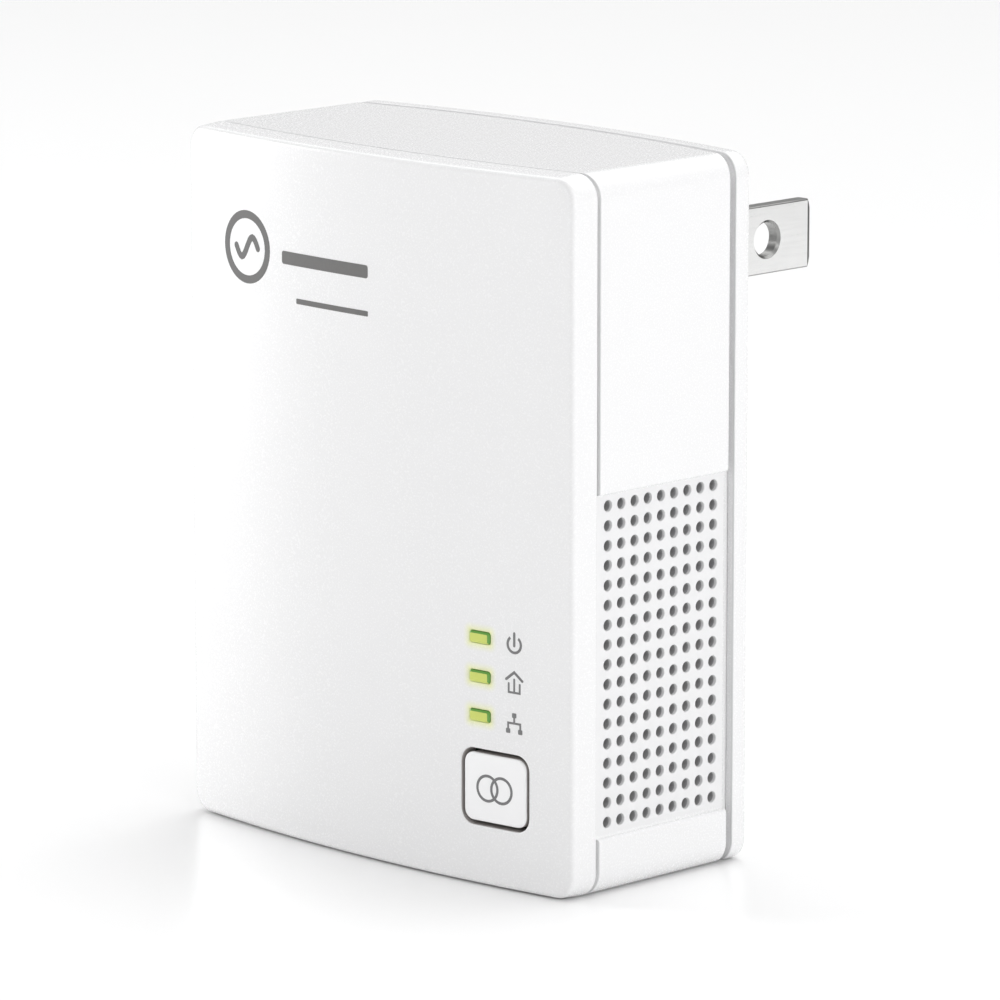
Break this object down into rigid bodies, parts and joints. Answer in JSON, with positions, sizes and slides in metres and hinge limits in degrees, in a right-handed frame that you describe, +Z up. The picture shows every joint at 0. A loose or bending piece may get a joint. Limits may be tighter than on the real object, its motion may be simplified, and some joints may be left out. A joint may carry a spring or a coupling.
{
  "type": "powerline adapter",
  "caption": "Plug-in powerline network adapter: upright white box with bowed front, indicator windows, pair button, vented sides, an Ethernet jack underneath and a bladed mains plug behind.",
  "frame": {"origin": "centre of the plug face, midway between the two blades, where the plug base meets the wall outlet", "axes": "+X to the right seen from the front, +Y back into the wall along the blades, +Z up"},
  "size_m": [0.05, 0.052, 0.065],
  "materials": {
    "case_white": "satin, very fine moulded grain",
    "plug_white": "satin",
    "button_white": "satin",
    "label_grey": "blank printed film, semi-gloss",
    "blade_nickel": "nickel-plated brass, light drawn marks",
    "lit_green": "translucent, lit from behind",
    "led_yellow": "clear resin",
    "black_plastic": "moulded",
    "chip_black": "moulded epoxy",
    "board_green": "solder mask",
    "fish_paper": "pressed insulating sheet",
    "tinned_steel": "tinned",
    "screw_steel": "zinc plated",
    "sink_aluminium": "extruded",
    "pad_grey": "soft pad",
    "ceramic_tan": "fired",
    "gold_contact": "gold flashed",
    "fuse_brown": "moulded",
    "disc_blue": "dipped epoxy",
    "capacitor_yellow": "boxed film capacitor",
    "core_green": "coated ferrite",
    "ferrite_grey": "sintered ferrite",
    "copper_wire": "enamelled copper",
    "can_blue": "sleeved aluminium can",
    "tape_yellow": "polyester tape"
  },
  "bodies": {
    "casing": {"front_cover": "case_white", "housing": "case_white", "rear_cover": "case_white", "plug_base": "plug_white", "rating_label": "label_grey", "live_blade": "blade_nickel", "neutral_blade": "blade_nickel", "switch_body": "black_plastic", "switch_plate": "tinned_steel", "switch_dome": "tinned_steel", "light_guide": "lit_green", "light_shield": "black_plastic", "indicator_leds": "led_yellow", "main_board": "board_green", "main_board_screws": "screw_steel", "insulating_sheet": "fish_paper", "power_board": "board_green", "power_board_screws": "screw_steel", "processor": "chip_black", "thermal_pad": "pad_grey", "heat_sink": "sink_aluminium", "memory_chip": "chip_black", "flash_chip": "chip_black", "ethernet_chip": "chip_black", "line_driver_chip": "chip_black", "crystal": "tinned_steel", "lan_transformer": "chip_black", "chip_capacitors": "ceramic_tan", "jack_insulator": "black_plastic", "jack_shield": "tinned_steel", "jack_contacts": "gold_contact", "header_pins": "gold_contact", "header_base": "black_plastic", "header_socket": "black_plastic", "fuse": "fuse_brown", "varistor": "disc_blue", "x_capacitor": "capacitor_yellow", "choke_core": "core_green", "choke_winding": "copper_wire", "bridge_rectifier": "chip_black", "bulk_capacitors": "can_blue", "transformer_core": "ferrite_grey", "transformer_bobbin": "black_plastic", "transformer_winding": "tape_yellow", "switching_chip": "chip_black", "optocoupler": "chip_black", "output_capacitor": "can_blue", "y_capacitor": "disc_blue", "coupling_core": "ferrite_grey", "coupling_winding": "copper_wire"},
    "button": {"pair_button": "button_white", "switch_plunger": "black_plastic"}
  },
  "joints": [
    {"name": "pair_button_press", "type": "slide", "parent": "casing", "child": "button", "axis": [0, 1, 0], "range_m": [0, 0.0004], "stiffness_N_per_m": 800, "springref_m": -0.0012}
  ]
}
